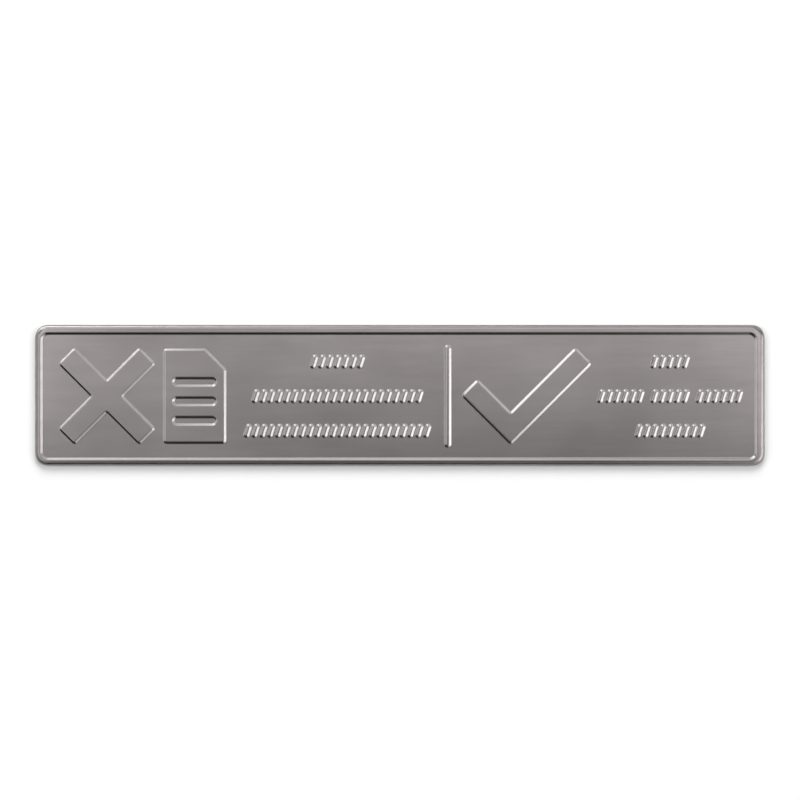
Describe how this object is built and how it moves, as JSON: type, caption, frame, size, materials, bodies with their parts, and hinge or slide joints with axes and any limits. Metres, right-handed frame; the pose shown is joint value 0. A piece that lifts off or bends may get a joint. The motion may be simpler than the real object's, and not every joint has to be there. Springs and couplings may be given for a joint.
{
  "type": "letterbox sticker sign",
  "caption": "Slim pressed metal letterbox sign with a raised border, a cross, a leaflet, a tick and rows of slanted ribs, on a foam adhesive pad.",
  "frame": {"origin": "middle of the sign's outline, on the surface that the adhesive pad sticks to", "axes": "+X along the sign, left to right as it is read; +Y up the sign; +Z out of its face"},
  "size_m": [0.12, 0.023, 0.0011],
  "materials": {
    "face_plate": "satin, pressed",
    "adhesive_pad": "fine closed-cell foam"
  },
  "bodies": {
    "root": {"face_plate": "face_plate", "adhesive_pad": "adhesive_pad"}
  },
  "joints": []
}
